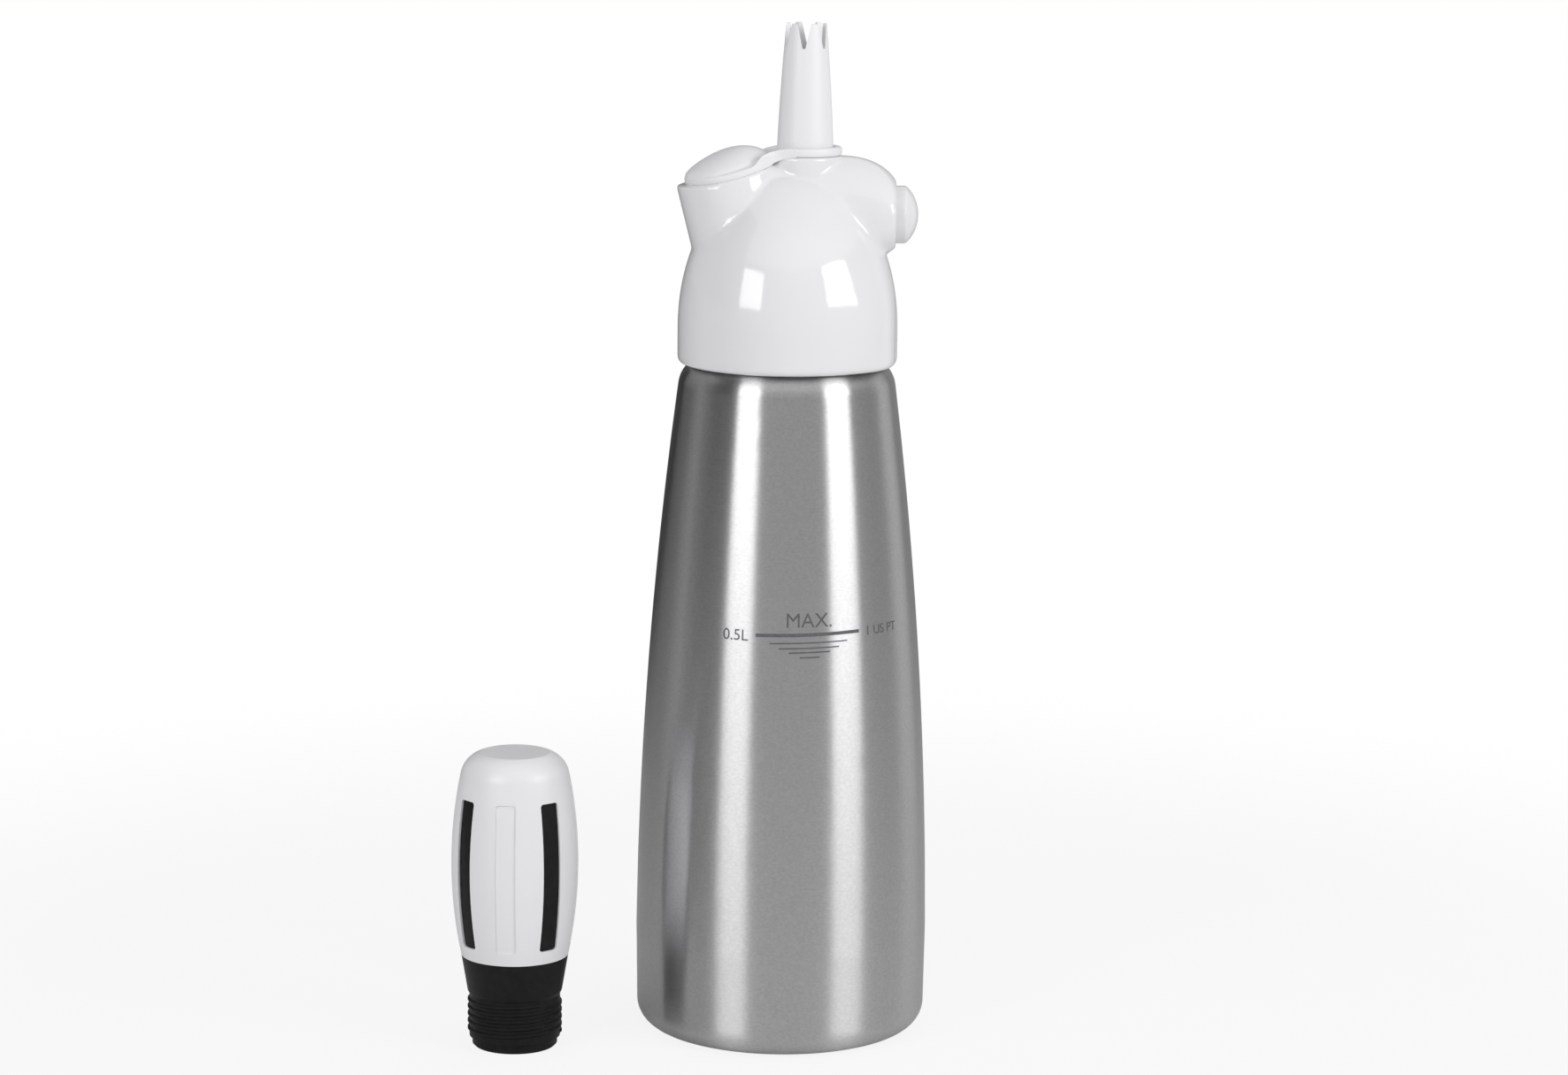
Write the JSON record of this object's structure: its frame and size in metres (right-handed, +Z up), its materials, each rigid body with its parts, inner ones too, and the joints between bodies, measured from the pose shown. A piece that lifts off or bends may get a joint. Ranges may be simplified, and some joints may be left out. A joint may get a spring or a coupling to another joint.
{
  "type": "cream whipper",
  "caption": "Steel cream whipper with a screw-on head, side push button, star nozzle, capped charger inlet and a separate charger holder.",
  "frame": {"origin": "centre of the bottle's flat base, on the surface it stands on", "axes": "+Z up along the bottle, +X towards the push button, -Y towards the fill mark"},
  "size_m": [0.129, 0.0825, 0.2756],
  "materials": {
    "brushed_steel": "fine horizontal brushing",
    "white_gloss": "moulded gloss",
    "white_satin": "moulded, slightly softer gloss",
    "white_grip": "fine satin",
    "black_plastic": "fine matt grain",
    "valve_plastic": "moulded",
    "silicone": "food grade silicone",
    "seal_rubber": "moulded rubber",
    "bright_steel": "turned and polished",
    "brass_bush": "turned"
  },
  "bodies": {
    "bottle": {"bottle": "brushed_steel"},
    "gasket": {"head_gasket": "silicone"},
    "head": {"head_housing": "white_gloss", "neck_insert": "white_gloss", "valve_cartridge": "valve_plastic", "cartridge_o_ring": "seal_rubber", "stem_o_ring": "seal_rubber", "outlet_stem": "bright_steel", "cap_strap": "white_satin", "pin_carrier": "brass_bush", "piercing_pin": "bright_steel", "charger_seal": "seal_rubber", "gas_check_valve": "seal_rubber"},
    "button": {"push_button": "white_gloss", "valve_stem": "bright_steel", "valve_seal": "seal_rubber", "button_spring": "bright_steel"},
    "washer": {"nozzle_washer": "silicone"},
    "nozzle": {"decorator_nozzle": "white_satin"},
    "cap": {"inlet_cap": "white_satin"},
    "holder": {"holder_sleeve": "black_plastic", "holder_grip": "white_grip", "holder_pad": "seal_rubber"}
  },
  "joints": [
    {"name": "head_rise", "type": "slide", "parent": "bottle", "child": "gasket", "axis": [0, 0, 1], "range_m": [0, 0.016]},
    {"name": "head_turn", "type": "hinge", "parent": "gasket", "child": "head", "pos_m": [0, 0, 0.203], "axis": [0, 0, 1], "range_deg": [0, 1440]},
    {"name": "button_press", "type": "slide", "parent": "head", "child": "button", "axis": [-1, 0, 0], "range_m": [0, 0.0025], "stiffness_N_per_m": 900, "springref_m": -0.003, "deforming": ["button_spring"]},
    {"name": "nozzle_rise", "type": "slide", "parent": "head", "child": "washer", "axis": [0, 0, 1], "range_m": [0, 0.0105]},
    {"name": "nozzle_turn", "type": "hinge", "parent": "washer", "child": "nozzle", "pos_m": [0.0042, 0, 0.2502], "axis": [0, 0, 1], "range_deg": [0, 1260]},
    {"name": "cap_flip", "type": "hinge", "parent": "head", "child": "cap", "pos_m": [-0.00505, 0, 0.2418], "axis": [0, 1, 0], "range_deg": [0, 75]},
    {"name": "holder_lift", "type": "slide", "parent": "bottle", "child": "holder", "axis": [0, 0, 1], "range_m": [0, 0.1]}
  ],
  "couplings": [
    {"joint": "head_rise", "follows": "head_turn", "m_per_rad": 0.00063662},
    {"joint": "nozzle_rise", "follows": "nozzle_turn", "m_per_rad": 0.00047746}
  ]
}
